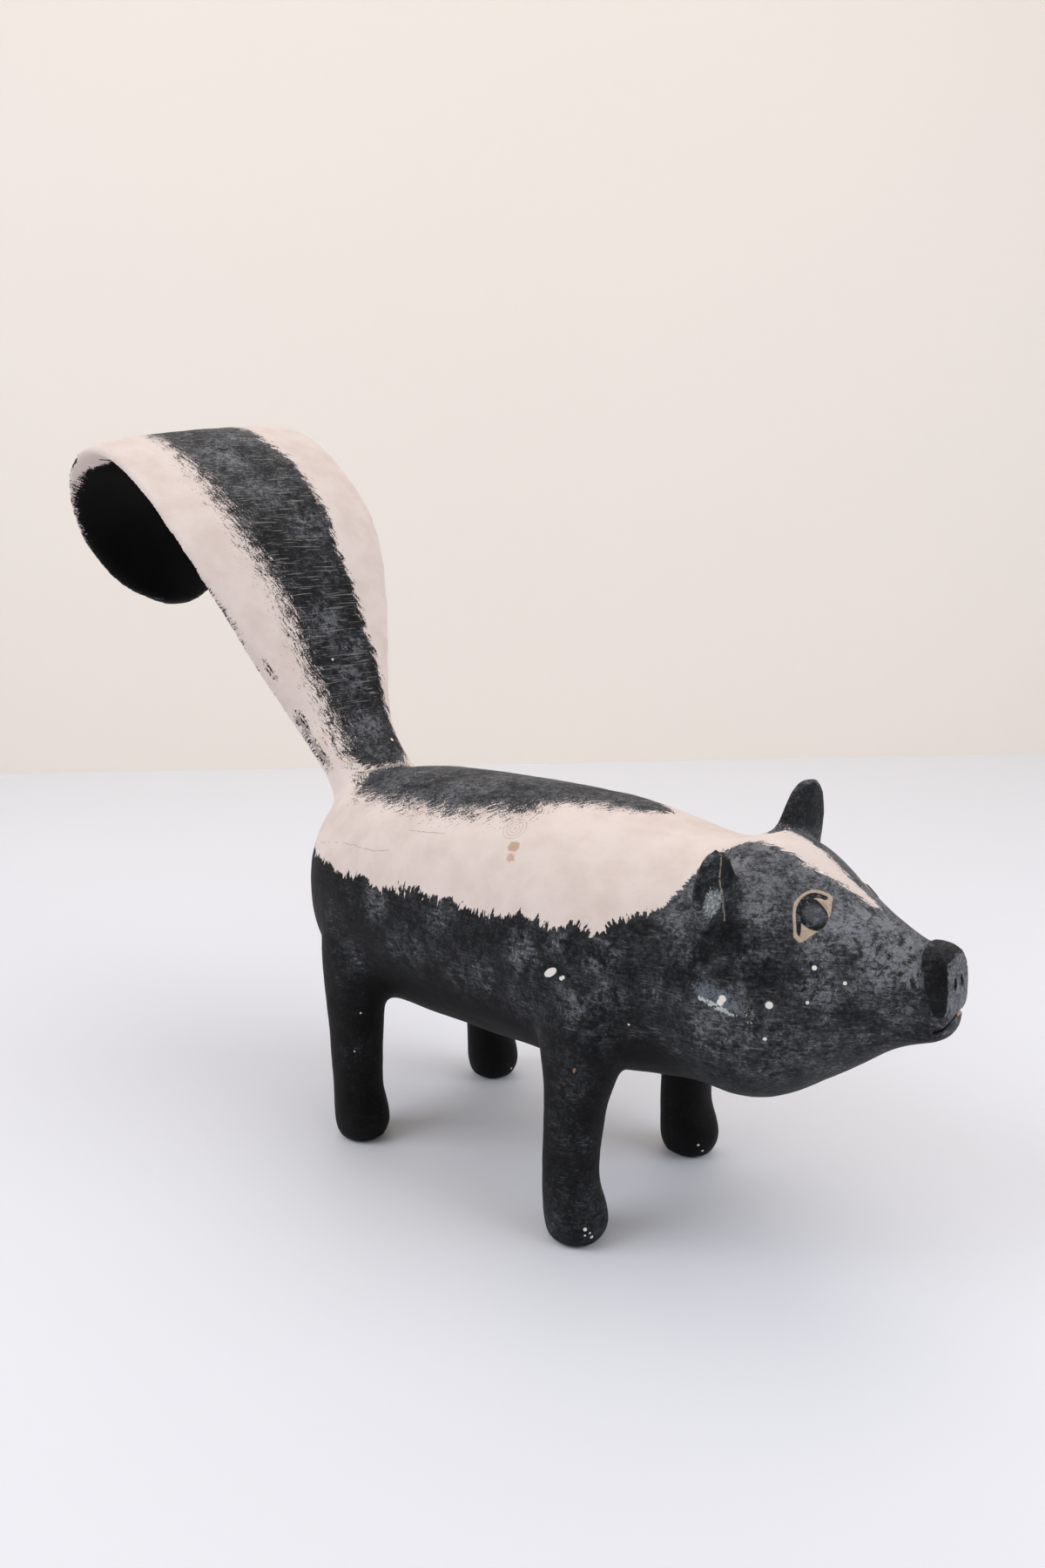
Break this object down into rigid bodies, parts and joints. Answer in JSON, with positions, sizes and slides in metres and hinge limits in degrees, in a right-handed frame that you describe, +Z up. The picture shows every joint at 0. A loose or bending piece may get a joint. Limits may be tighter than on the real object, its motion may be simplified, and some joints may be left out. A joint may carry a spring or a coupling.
{
  "type": "skunk sculpture",
  "caption": "Standing carved wooden skunk, painted black and white, with a flat tail that rises and curls over at the top.",
  "frame": {"origin": "centre of the bounding box on the level of the foot soles", "axes": "+X forward to the nose, +Y to the animal's left, +Z up"},
  "size_m": [0.6956, 0.1816, 0.4999],
  "materials": {
    "painted_wood": "matt brushed paint, charcoal black with warm white stripes, worn"
  },
  "bodies": {
    "root": {"skunk": "painted_wood"}
  },
  "joints": []
}
